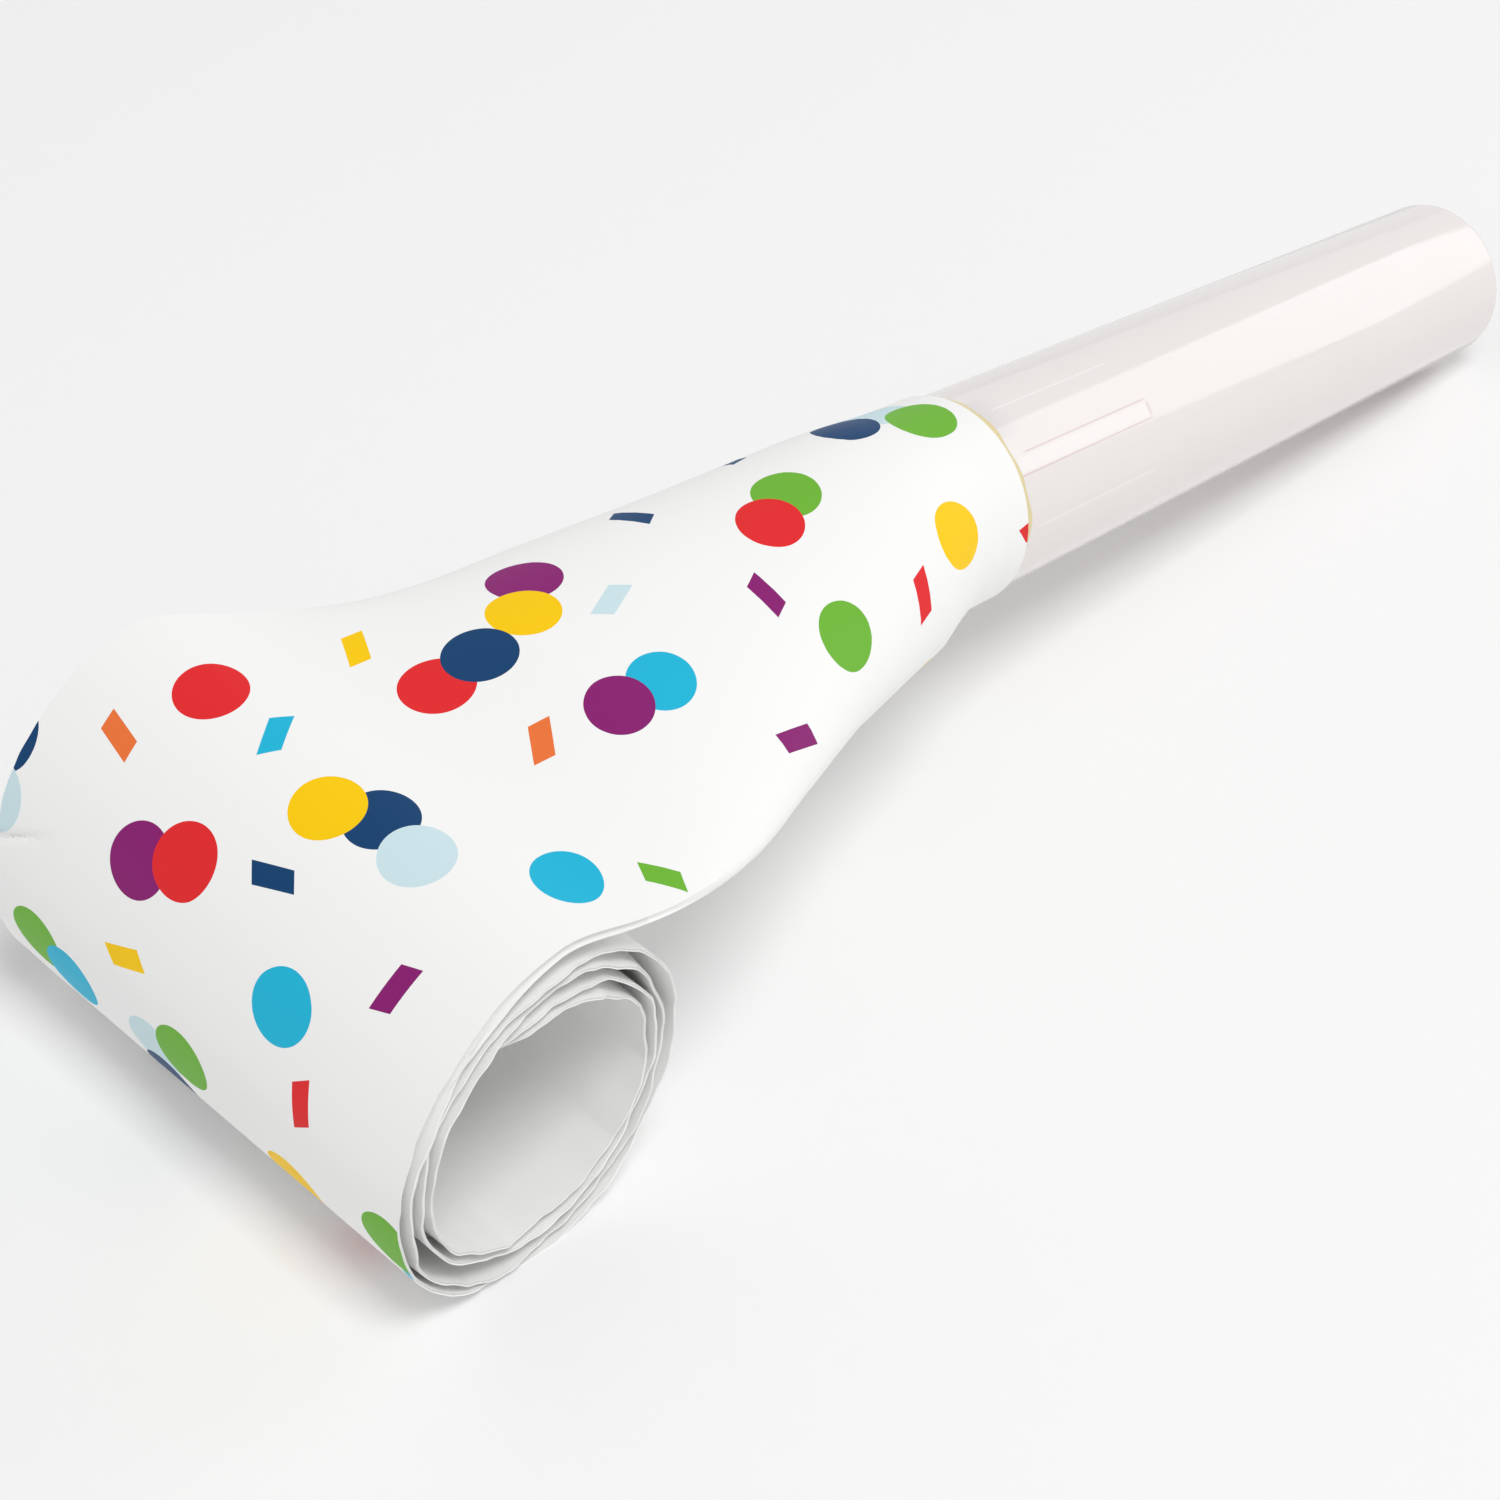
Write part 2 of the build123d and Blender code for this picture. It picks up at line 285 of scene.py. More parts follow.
def faces_at(s):
    """Heights of the outer and inner face over the middle line of the rolled strip."""
    outer = OUTER_FACE + ripple(s, OUTER_WAVES)
    loose = INNER_FACE
    for change, comes, goes in LOOSE_STRETCHES:
        loose += change * (smoothstep(*comes, s) - smoothstep(*goes, s))
    rolled = smoothstep(*STRIP_START, s)
    inner = -loose * rolled - STRIP_HALF_THICKNESS * (1 - rolled)
    inner += ripple(s, INNER_WAVES) * smoothstep(*INNER_WAVES_START, s)
    tip = smoothstep(TIP_START, PANEL_COUNT, s)
    outer += (TIP_FACE - outer) * tip
    inner += (outer - TIP_PLIES * PLY - inner) * tip
    return outer, inner


# Pinched lines of the outer face, deepest at the start: start and end as (panels, share of the half
# width), depth and half width. They lie within WRINKLED, where a panel counts as WRINKLE_PANEL.
WRINKLED = (1.5, 7)
WRINKLES = [
    ((2.72, 0.99), (2.36, 0.74), 0.4, 0.22),
    ((6.3, 0.99), (6.0, 0.8), 0.3, 0.24),
]
WRINKLE_PANEL = 5.9


def wrinkle(s, share):
    """How deep the outer face is pinched in at a place."""
    depth = 0.0
    at = Vector((s * WRINKLE_PANEL, share * STRIP_HALF_WIDTH))
    for (s_start, share_start), (s_end, share_end), most, half in WRINKLES:
        start = Vector((s_start * WRINKLE_PANEL, share_start * STRIP_HALF_WIDTH))
        run = Vector((s_end * WRINKLE_PANEL, share_end * STRIP_HALF_WIDTH)) - start
        t = min(max((at - start).dot(run) / run.length_squared, 0.0), 1.0)
        far = (at - start - run * t).length
        depth += most * (1 - t * t) * math.exp(-((far / half) ** 2))
    return depth


# Sides of the strip: the panels over which the round neck becomes flat, the depth of the tuck and where
# it begins, and the hollow before it. Their line has waves, and the paper by them has a frill, less on
# the outer ply. The waves of the far side and of the outer ply are shifted.
FLAT_START = (-3.2, 0.2)
SIDE_TUCK = 2.4
TUCK_START = (0.8, 3.6)
SIDE_HOLLOW = 0.35
SIDE_WAVES = [(0.1, 2.9, 0.2), (0.06, 1.3, 0.5), (0.03, 0.47, 0.1), (0.012, 0.27, 0.7)]
SIDE_WAVES_START = (0.5, 2.5)
FAR_SHIFT = 3.1
OUTER_SHIFT = 7.3
FRILL_WAVES = [(0.08, 1.37, 0.1), (0.03, 0.61, 0.6)]
FRILL_OUTER_LOSS = 0.55
FRILL_SHARES = (0.78, 1.0)
FRILL_END = (TIP_START - 1, TIP_START + 0.5)


def section_point(s, station):
    """Point of the paper tube at s, as (across, out) from the middle line."""
    share, tuck, layer, ply, angle, _ = station
    near, far, half_height, _ = neck_sizes(neck_x(s)) if s < 0 else neck_rows[-1][1:]
    half = near if share < 0 else far
    round_y = half * math.cos(math.radians(angle))
    round_n = half_height * math.sin(math.radians(angle))
    outer, inner = faces_at(s)
    shifted = s + (FAR_SHIFT if share > 0 else 0.0) + OUTER_SHIFT * layer
    rolled = smoothstep(*SIDE_WAVES_START, s)
    wave = ripple(shifted, SIDE_WAVES)
    frill = ripple(shifted, FRILL_WAVES) * (1 - FRILL_OUTER_LOSS * layer)
    edge = half + wave * rolled - TIP_SET_BACK * smoothstep(TIP_START, PANEL_COUNT, s)
    flat_n = inner + (outer - inner) * layer + ply * PLY
    level = (flat_n - inner) / (outer - inner)
    tucked = smoothstep(*TUCK_START, s)
    side = tucked * tuck * SIDE_TUCK - (1 - tucked) * SIDE_HOLLOW * (1 - (2 * level - 1) ** 2)
    flat_y = share * edge - math.copysign(side, share)
    tip = smoothstep(*FRILL_END, s)
    flat_n += frill * rolled * (1 - tip) * smoothstep(*FRILL_SHARES, abs(share))
    flat = smoothstep(*FLAT_START, s)
    return round_y + (flat_y - round_y) * flat, round_n + (flat_n - round_n) * flat


# The strip can touch the table only after this many panels
TABLE_START = 3


def table_lift(s):
    """How far the table presses the roll up at s, in metres."""
    middle = centre_point(s)
    normal = outward(s)
    outer, _ = faces_at(s)
    lowest = place(middle.x + normal.x * outer, 0, middle.y + normal.y * outer).z
    return max(-lowest, 0.0) if s > TABLE_START else 0.0


def folded_back(s, out):
    """Point (x, z) past the tip, where the flat tube turns in and lies back along its own inner face."""
    outer, inner = faces_at(PANEL_COUNT)
    axis_out = (outer + inner) / 2 - FOLD_RADIUS
    beyond = FOLD_RADIUS + out - (outer + inner) / 2
    if s < PANEL_COUNT + FOLD_TURN:
        turn = math.pi * (s - PANEL_COUNT) / FOLD_TURN
        normal = outward(PANEL_COUNT)
        onward = Vector((-normal.y, normal.x))
        around = normal * math.cos(turn) + onward * math.sin(turn)
        return centre_point(PANEL_COUNT) + normal * axis_out + around * beyond
    back = 2 * PANEL_COUNT + FOLD_TURN - s
    outer, inner = faces_at(back)
    face = min(axis_out, inner - FOLD_RADIUS + PLY)
    return centre_point(back) + outward(back) * (face - beyond)


def paper_point(s, station, shrink=0.0):
    """Point of the paper tube on the table, drawn in towards the middle line by shrink."""
    across, out = section_point(min(s, PANEL_COUNT), station)
    on_outer_face = station.layer == 1.0 and station.ply == 0.0
    if on_outer_face and WRINKLED[0] < s < WRINKLED[1]:
        out -= wrinkle(s, station.share)
    if s > PANEL_COUNT:
        point = folded_back(s, out)
        return place(point.x, across, point.y)
    if shrink:
        size = math.hypot(across, out)
        across *= (size - shrink) / size
        out *= (size - shrink) / size
    middle = centre_point(s)
    normal = outward(s)
    point = place(middle.x + normal.x * out, across, middle.y + normal.y * out)
    point.z = max(point.z + table_lift(s), 0.0)
    return point


def across_print(s):
    """Millimetres of paper from the middle of its outer face to each station."""
    points = [Vector(section_point(min(s, PANEL_COUNT), station)) for station in LOOP]
    middle = BASE_STEPS + len(EDGE_STATIONS) + TOP_SHARES.index(0.0)
    across = [0.0] * len(LOOP)
    for k in range(middle + 1, len(LOOP)):
        across[k] = across[k - 1] + (points[k] - points[k - 1]).length
    for k in range(middle - 1, -1, -1):
        across[k] = across[k + 1] - (points[k + 1] - points[k]).length
    return across


def new_piece(name, bm, finish):
    """Object of a finished mesh, with its material and material slot."""
    mesh = bpy.data.meshes.new(name)
    bm.to_mesh(mesh)
    bm.free()
    for polygon in mesh.polygons:
        polygon.use_smooth = True
    mesh.set_sharp_from_angle(angle=SHARP_ANGLE)
    mesh.materials.append(finish)
    piece = bpy.data.objects.new(name, mesh)
    bpy.context.scene.collection.objects.link(piece)
    return piece


# Print: all round the neck as far as NECK_PRINT_END, and from there on the outer face alone. From
# BARE_START on, the strip's near margin is white. The printed attribute is 1 with confetti, BARE on the
# white margin and on the fold at the tip, and 0 on the plain inner face, which is greyer than the paper:
# partly the unprinted side's own tone, partly painted shade for the inside of the coil.
NECK_PRINT_END = -1.2
BARE = 0.5
BARE_EDGE = -0.66
BARE_START = 4.1


def paper_tube(rows):
    """Tube of paper through rows of (s, drawn-in depth). Its UV is the print's place in millimetres."""
    bm = bmesh.new()
    uv_layer = bm.loops.layers.uv.new("UVMap")
    printed = bm.verts.layers.float.new("printed")
    last_station, last_row = len(LOOP) - 1, len(rows) - 1
    bmesh.ops.create_grid(bm, x_segments=last_station, y_segments=last_row, size=1, calc_uvs=True)
    across = [across_print(s) for s, _ in rows]
    print_place = {}
    for vert in bm.verts:
        column = round((vert.co.x + 1) / 2 * last_station)
        row = round((vert.co.y + 1) / 2 * last_row)
        station = LOOP[column]
        s, shrink = rows[row]
        print_place[vert] = (across[row][column], print_along(s, across[row][column]))
        bare = s > PANEL_COUNT or (s > BARE_START and station.share < BARE_EDGE)
        outside = max(station.outer, float(s < NECK_PRINT_END))
        vert[printed] = outside * (BARE if bare else 1.0)
        vert.co = paper_point(s, station, shrink)
        vert.select = row == last_row
    for face in bm.faces:
        for loop in face.loops:
            loop[uv_layer].uv = print_place[loop.vert]
    bmesh.ops.remove_doubles(bm, verts=bm.verts, dist=PAPER_WELD)
    bmesh.ops.recalc_face_normals(bm, faces=bm.faces)
    return bm


# Length of paper from its edge on the mouthpiece to each crease
lengths = [-creases[0].x]
for a, b in zip(creases, creases[1:]):
    lengths.append(lengths[-1] + (b - a).length)


def length_along(s):
    """Millimetres of paper from its edge on the mouthpiece to s."""
    if s < 0:
        return -neck_x(s)
    k = min(math.floor(s), PANEL_COUNT - 1)
    return lengths[k] + (lengths[k + 1] - lengths[k]) * (s - k)


# Rows of the print are arcs on the flaring neck: their bend, and the lengths where it comes and goes
FLARE = 0.0085
FLARE_COMES = (0.0, 8.0)
FLARE_GOES = (34.0, 50.0)


def print_along(s, across):
    """Place of the print along the paper, in millimetres."""
    along = length_along(s)
    flare = FLARE * smoothstep(*FLARE_COMES, along) * (1 - smoothstep(*FLARE_GOES, along))
    return along - flare * across**2


def add(tree, kind, links=None, **settings):
    """A node with its settings and its inputs, which are sockets or values."""
    node = tree.nodes.new(kind)
    for name, value in settings.items():
        setattr(node, name, value)
    for socket, value in (links or {}).items():
        if isinstance(value, bpy.types.NodeSocket):
            tree.links.new(value, node.inputs[socket])
        else:
            node.inputs[socket].default_value = value
    return node


def new_finish(name):
    """Empty material with its principled shader."""
    finish = bpy.data.materials.new(name)
    finish.use_nodes = True
    return finish, finish.node_tree, finish.node_tree.nodes["Principled BSDF"]


# Confetti: clusters of dots and single slips on a stretch of paper that repeats along the strip. They
# keep their distances from each other and from the neck's near fold, and pieces nearer to each other
# than SAME_COLOUR differ in colour where the deck allows it. Dots lie CLUSTER_REACH radii from the first
# one of their cluster, each CLUSTER_TURN radians further round.
PAPER_WHITE = "#FAFAF9"
# Plain inner face: greyer than the paper, partly the unprinted side's own tone and partly painted shade
# for the inside of the coil
PLAIN_TONE_AND_SHADE = "#F2F2F1"
DOT_COLOURS = ["#0B406E", "#E62A2E", "#1FB9DD", "#FFCF00", "#70B737", "#8A1C71", "#CFE7ED"]
SLIP_COLOURS = DOT_COLOURS + ["#F0783C"]
DOT_RADIUS = 2.1
SLIP_HALF_LENGTH = 1.35
SLIP_HALF_WIDTH = 0.62
SLIP_SLANT = 0.4
REPEAT = 66.0
PRINT_HALF_WIDTH = 19.5
CLUSTER_SPACING = 9.6
SLIP_SPACING = 8.5
SLIP_TO_DOT = 4.6
SAME_COLOUR = 9.0
FOLD_TO_DOT = 3.4
FOLD_TO_SLIP = 1.2
CLUSTER_SIZES = [1, 2, 2, 1, 3, 2, 1]
CLUSTER_REACH = (1.35, 1.65)
CLUSTER_TURN = (1.6, 2.6)
CONFETTI_DRAW = 21
DARTS = 900


def apart(a, b):
    """Distance of two places on the paper, counted over the repeat as well."""
    along = abs(a[1] - b[1])
    return math.hypot(a[0] - b[0], min(along, REPEAT - along))


def from_fold(spot):
    """How far a place on the paper is from the near edge of the neck, where the tube turns under."""
    s = (creases[0].x + min(spot[1], -creases[0].x)) / NECK_PANEL
    near_edge = across_print(s)[BASE_STEPS + len(EDGE_STATIONS) // 2]
    return abs(spot[0] - near_edge)


def dealt(draw, colours, spots):
    """A colour for each spot, from decks that hold each colour once, so that neighbours mostly differ."""
    deck, chosen = [], []
    for spot in spots:
        deck = deck or draw.sample(colours, len(colours))
        near = [colour for other, colour in zip(spots, chosen) if apart(spot, other) < SAME_COLOUR]
        pick = next((colour for colour in deck if colour not in near), deck[0])
        deck.remove(pick)
        chosen.append(pick)
    return chosen


def confetti_layout():
    """Dots as (across, along, colour) and slips as (across, along, turn, colour), by a fixed draw."""
    draw = random.Random(CONFETTI_DRAW)
    spots = []
    for _ in range(DARTS):
        across = draw.uniform(-PRINT_HALF_WIDTH, PRINT_HALF_WIDTH)
        spots.append((across, draw.uniform(0, REPEAT)))
    middles = []
    for spot in spots:
        clear = all(apart(spot, other) > CLUSTER_SPACING for other in middles)
        if clear and from_fold(spot) > FOLD_TO_DOT:
            middles.append(spot)
    places = []
    for k, (across, along) in enumerate(middles):
        places.append((across, along))
        turn = draw.uniform(0, 2 * math.pi)
        for _ in range(CLUSTER_SIZES[k % len(CLUSTER_SIZES)] - 1):
            reach = draw.uniform(*CLUSTER_REACH) * DOT_RADIUS
            beside = (across + reach * math.cos(turn), along + reach * math.sin(turn))
            if from_fold(beside) > FOLD_TO_DOT:
                places.append(beside)
            turn += draw.uniform(*CLUSTER_TURN)
    slip_places = []
    for spot in reversed(spots):
        clear = all(apart(spot, other) > SLIP_TO_DOT for other in places)
        clear = clear and all(apart(spot, other) > SLIP_SPACING for other in slip_places)
        if clear and from_fold(spot) > FOLD_TO_SLIP:
            slip_places.append(spot)
    dot_colours = dealt(draw, DOT_COLOURS, places)
    dots = [(*spot, colour) for spot, colour in zip(places, dot_colours)]
    slip_colours = dealt(draw, SLIP_COLOURS, slip_places)
    slips = []
    for spot, colour in zip(slip_places, slip_colours):
        slips.append((*spot, draw.uniform(0, math.pi), colour))
    return over_the_repeat(dots), over_the_repeat(slips)


def over_the_repeat(pieces):
    """The same pieces, and a second time those that reach over an end of the repeat."""
    again = []
    for across, along, *rest in pieces:
        if along < 2 * DOT_RADIUS:
            again.append((across, along + REPEAT, *rest))
        if along > REPEAT - 2 * DOT_RADIUS:
            again.append((across, along - REPEAT, *rest))
    return pieces + again


def dot_over(tree, base, place_mm, dot):
    """One dot over the colour so far."""
    across, along, colour = dot
    far = add(tree, "ShaderNodeVectorMath", {0: place_mm, 1: (across, along, 0)}, operation="DISTANCE")
    mask = add(tree, "ShaderNodeMath", {0: far.outputs["Value"], 1: DOT_RADIUS}, operation="LESS_THAN")
    layers = {0: mask.outputs[0], 6: base, 7: hex_colour(colour)}
    return add(tree, "ShaderNodeMix", layers, data_type="RGBA").outputs[2]


def slip_over(tree, base, place_mm, slip):
    """One slanted slip over the colour so far."""
    across, along, turn, colour = slip
    length = Vector((math.cos(turn), math.sin(turn), 0))
    width = Vector((-math.sin(turn), math.cos(turn), 0))
    offset = add(tree, "ShaderNodeVectorMath", {0: place_mm, 1: (across, along, 0)}, operation="SUBTRACT")
    sides = []
    for side in ((length + SLIP_SLANT * width) / SLIP_HALF_LENGTH, width / SLIP_HALF_WIDTH):
        share = add(tree, "ShaderNodeVectorMath", {0: offset.outputs[0], 1: side}, operation="DOT_PRODUCT")
        share = add(tree, "ShaderNodeMath", {0: share.outputs["Value"]}, operation="ABSOLUTE")
        sides.append(share.outputs[0])
    most = add(tree, "ShaderNodeMath", {0: sides[0], 1: sides[1]}, operation="MAXIMUM")
    mask = add(tree, "ShaderNodeMath", {0: most.outputs[0], 1: 1.0}, operation="LESS_THAN")
    layers = {0: mask.outputs[0], 6: base, 7: hex_colour(colour)}
    return add(tree, "ShaderNodeMix", layers, data_type="RGBA").outputs[2]


# Coated paper: roughness from and to, and how strongly and deeply its fibres show, depth in metres
PAPER_ROUGHNESS = (0.42, 0.56)
FIBRE_SCALE = 3.0
FIBRE_STRENGTH = 0.06
FIBRE_DEPTH = 0.0001
PAPER_SHEEN = 0.15


def coated_paper():
    """Thin white coated paper with printed confetti, a soft sheen and faint fibres under it."""
    finish, tree, shader = new_finish("coated_paper")
    place_mm = add(tree, "ShaderNodeUVMap", uv_map="UVMap").outputs[0]
    axes = add(tree, "ShaderNodeSeparateXYZ", {0: place_mm}).outputs
    along = add(tree, "ShaderNodeMath", {0: axes[1], 1: REPEAT}, operation="FLOORED_MODULO").outputs[0]
    on_repeat = add(tree, "ShaderNodeCombineXYZ", {0: axes[0], 1: along}).outputs[0]
    white = add(tree, "ShaderNodeRGB").outputs[0]
    white.default_value = hex_colour(PAPER_WHITE)
    colour = white
    dots, slips = confetti_layout()
    for dot in dots:
        colour = dot_over(tree, colour, on_repeat, dot)
    for slip in slips:
        colour = slip_over(tree, colour, on_repeat, slip)
    printed = add(tree, "ShaderNodeAttribute", attribute_name="printed").outputs["Fac"]
    # The plain inner face takes the greyer white: partly its own tone, partly painted shade inside the
    # coil
    for base, least in ((white, (1 + BARE) / 2), (hex_colour(PLAIN_TONE_AND_SHADE), BARE / 2)):
        mask = add(tree, "ShaderNodeMath", {0: printed, 1: least}, operation="GREATER_THAN")
        layers = {0: mask.outputs[0], 6: base, 7: colour}
        colour = add(tree, "ShaderNodeMix", layers, data_type="RGBA").outputs[2]
    tree.links.new(colour, shader.inputs["Base Color"])
    fibres = add(tree, "ShaderNodeTexNoise", {0: place_mm, "Scale": FIBRE_SCALE, "Detail": 4.0}).outputs[0]
    rough = add(tree, "ShaderNodeMapRange", {0: fibres, 3: PAPER_ROUGHNESS[0], 4: PAPER_ROUGHNESS[1]})
    tree.links.new(rough.outputs[0], shader.inputs["Roughness"])
    relief = {"Height": fibres, "Strength": FIBRE_STRENGTH, "Distance": FIBRE_DEPTH}
    tree.links.new(add(tree, "ShaderNodeBump", relief).outputs[0], shader.inputs["Normal"])
    shader.inputs["Specular IOR Level"].default_value = PAPER_SHEEN
    return finish


# Painted shade and painted highlights where the reed holder's rib lines would show through the
# mouthpiece's
# wall: the lilac-grey band and the pinkish lines are painted shade, and the pale bands and lines are
# painted
# highlights. Columns: degrees from the middle rib, half width in degrees, start and end along the tube,
# softness along the tube, strength and colour. The middle rib is at RIB_ANGLE from the top, and the
# painted marks repeat every RIB_PERIOD degrees.
RIB_ANGLE = 43.0
RIB_PERIOD = 120.0
RIB_PAINTED_SHADE_AND_HIGHLIGHT = [
    (-33.0, 20.0, -2.0, 1.2, 2.2, 0.7, "#D9D2D9"),
    (0.0, 5.6, 0.8, 14.0, 0.3, 0.6, "#FBF6F4"),
    (-6.2, 0.7, 1.6, 14.0, 0.4, 0.9, "#E3CFCD"),
    (5.6, 0.7, 0.4, 14.0, 0.4, 0.9, "#E3CFCD"),
    (0.0, 5.6, 13.9, 14.2, 0.15, 0.8, "#E6D6D4"),
    (-36.5, 0.8, 1.8, 13.4, 0.6, 0.6, "#FFFDFC"),
    (36.3, 0.8, 1.6, 13.8, 0.6, 0.6, "#FDFAF9"),
]
MARK_SOFT = 0.5


def painted_rib_shade_and_highlight(tree, at, colour):
    """The colour of the wall with painted shade and painted highlights where the ribbed plug behind it
    would show through.
    """
    start = LAID.inverted() @ -HORN_ORIGIN
    per_metre = (1 / MM, 1 / MM, 1 / MM)
    to_horn = {0: at, "Location": start, "Rotation": (0, -LAY_ANGLE, 0), "Scale": per_metre}
    in_horn = add(tree, "ShaderNodeMapping", to_horn).outputs[0]
    axes = add(tree, "ShaderNodeSeparateXYZ", {0: in_horn}).outputs
    front = add(tree, "ShaderNodeMath", {0: axes[1], 1: -1.0}, operation="MULTIPLY").outputs[0]
    angle = add(tree, "ShaderNodeMath", {0: front, 1: axes[2]}, operation="ARCTAN2").outputs[0]
    angle = add(tree, "ShaderNodeMath", {0: angle}, operation="DEGREES").outputs[0]
    first = RIB_PERIOD / 2 - RIB_ANGLE
    angle = add(tree, "ShaderNodeMath", {0: angle, 1: first}, operation="ADD").outputs[0]
    angle = add(tree, "ShaderNodeMath", {0: angle, 1: RIB_PERIOD}, operation="FLOORED_MODULO").outputs[0]
    for middle, half, begin, finish, soft, strength, code in RIB_PAINTED_SHADE_AND_HIGHLIGHT:
        off = add(tree, "ShaderNodeMath", {0: angle, 1: RIB_PERIOD / 2 + middle}, operation="SUBTRACT")
        off = add(tree, "ShaderNodeMath", {0: off.outputs[0]}, operation="ABSOLUTE")
        fade = {0: off.outputs[0], 1: half * MARK_SOFT, 2: half, 3: strength, 4: 0.0}
        mask = add(tree, "ShaderNodeMapRange", fade, interpolation_type="SMOOTHSTEP")
        for edge, low, high in ((begin, 0.0, 1.0), (finish, 1.0, 0.0)):
            fade = {0: axes[0], 1: edge - soft, 2: edge + soft, 3: low, 4: high}
            within = add(tree, "ShaderNodeMapRange", fade, interpolation_type="SMOOTHSTEP")
            both = {0: mask.outputs[0], 1: within.outputs[0]}
            mask = add(tree, "ShaderNodeMath", both, operation="MULTIPLY")
        layers = {0: mask.outputs[0], 6: colour, 7: hex_colour(code)}
        colour = add(tree, "ShaderNodeMix", layers, data_type="RGBA").outputs[2]
    return colour


# Flow marks of moulded plastic: noise per metre, and how much rougher they are
FLOW_SCALE = 160.0
FLOW_ROUGHNESS = 0.04


def moulded_plastic(name, colours, roughness, transmission, ior, painted_rib_light=False):
    """Moulded thermoplastic: gloss from the mould, slightly uneven, and milky inside."""
    finish, tree, shader = new_finish(name)
    at = add(tree, "ShaderNodeTexCoord").outputs["Object"]
    flow = add(tree, "ShaderNodeTexNoise", {0: at, "Scale": FLOW_SCALE, "Detail": 2.0}).outputs[0]
    layers = {0: flow, 6: hex_colour(colours[0]), 7: hex_colour(colours[1])}
    colour = add(tree, "ShaderNodeMix", layers, data_type="RGBA").outputs[2]
    # Painted shade and painted highlights of the reed holder's rib lines behind the wall
    if painted_rib_light:
        colour = painted_rib_shade_and_highlight(tree, at, colour)
    tree.links.new(colour, shader.inputs["Base Color"])
    rough = add(tree, "ShaderNodeMapRange", {0: flow, 3: roughness, 4: roughness + FLOW_ROUGHNESS})
    tree.links.new(rough.outputs[0], shader.inputs["Roughness"])
    shader.inputs["Transmission Weight"].default_value = transmission
    shader.inputs["IOR"].default_value = ior
    return finish


STEEL_GREY = "#8E8E92"
STEEL_ROUGHNESS = (0.25, 0.45)
STEEL_MARKS_SCALE = 4000.0


def spring_steel():
    """Drawn spring wire: grey metal with fine marks that change its gloss."""
    finish, tree, shader = new_finish("drawn_spring_steel")
    at = add(tree, "ShaderNodeTexCoord").outputs["Object"]
    marks = add(tree, "ShaderNodeTexNoise", {0: at, "Scale": STEEL_MARKS_SCALE}).outputs[0]
    rough = add(tree, "ShaderNodeMapRange", {0: marks, 3: STEEL_ROUGHNESS[0], 4: STEEL_ROUGHNESS[1]})
    tree.links.new(rough.outputs[0], shader.inputs["Roughness"])
    shader.inputs["Base Color"].default_value = hex_colour(STEEL_GREY)
    shader.inputs["Metallic"].default_value = 1.0
    return finish


# Finishes: colours of a plastic from and to, its roughness, transmission and index of refraction
paper = coated_paper()
milky_white = ("#F4EEEC", "#F1EAE8")
# The mouthpiece's wall gets the painted shade and painted highlights of the rib lines behind it
polypropylene = moulded_plastic("moulded_polypropylene", milky_white, 0.07, 0.06, 1.49, painted_rib_light=True)
polystyrene = moulded_plastic("moulded_polystyrene", ("#EFEAE4", "#E9E4DE"), 0.28, 0.0, 1.55)
polyester = moulded_plastic("cut_polyester_sheet", ("#DEDCD6", "#D6D4CF"), 0.35, 0.0, 1.57)
hot_glue = moulded_plastic("dried_hot_glue", ("#F6E7AE", "#F2DF9C"), 0.22, 0.2, 1.48)
steel = spring_steel()

# Neck: the inside of the collar, one ply in, the paper's edge, and the puffed sleeve as far as half a
# panel before the first crease
collar_s = creases[0].x / NECK_PANEL
neck_levels = [(collar_s + COLLAR_INSIDE, PLY), (collar_s, PLY)]
neck_levels += [(collar_s + (-0.5 - collar_s) * k / NECK_STEPS, 0.0) for k in range(NECK_STEPS + 1)]
neck = new_piece("paper_sleeve", paper_tube(neck_levels), paper)
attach(neck, "horn")
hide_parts("paper_neck")


def body_name(number):
    """Body that carries a panel, or the horn before the first one."""
    return f"strip_{number:02d}" if number else "horn"


def wire_tube(start, end):
    """Length of spring wire in the middle of the strip."""
    bm = bmesh.new()
    bmesh.ops.create_grid(bm, x_segments=WIRE_SIDES, y_segments=WIRE_STEPS, size=1)
    for vert in bm.verts:
        turn = math.pi * vert.co.x
        s = start + (end - start) * (vert.co.y + 1) / 2
        outer, inner = faces_at(s)
        out = (outer + inner) / 2 + WIRE_RADIUS * math.sin(turn)
        middle = centre_point(s)
        normal = outward(s)
        across = WIRE_RADIUS * math.cos(turn)
        vert.co = place(middle.x + normal.x * out, across, middle.y + normal.y * out)
    bmesh.ops.remove_doubles(bm, verts=bm.verts, dist=FINE_WELD)
    bmesh.ops.recalc_face_normals(bm, faces=bm.faces)
    return bm


def table_point(s):
    """Point of the middle line on the table."""
    middle = centre_point(s)
    return place(middle.x, 0, middle.y)


# Strip: one length of tube and wire over each crease, from the middle of one panel to the next middle
for number in range(1, PANEL_COUNT + 1):
    start, end = number - 1.5, number - 0.5
    levels = [(start + (end - start) * k / STEPS_PER_PANEL, 0.0) for k in range(STEPS_PER_PANEL + 1)]
    strip = new_piece(f"paper_strip_{number:02d}", paper_tube(levels), paper)
    wire = new_piece(f"wire_{number:02d}", wire_tube(start, end), steel)
    for piece in (strip, wire):
        table_point(start)
        table_point(end)
        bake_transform(piece)
    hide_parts(f"panel_{number:02d}")
    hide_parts("coil_wire")

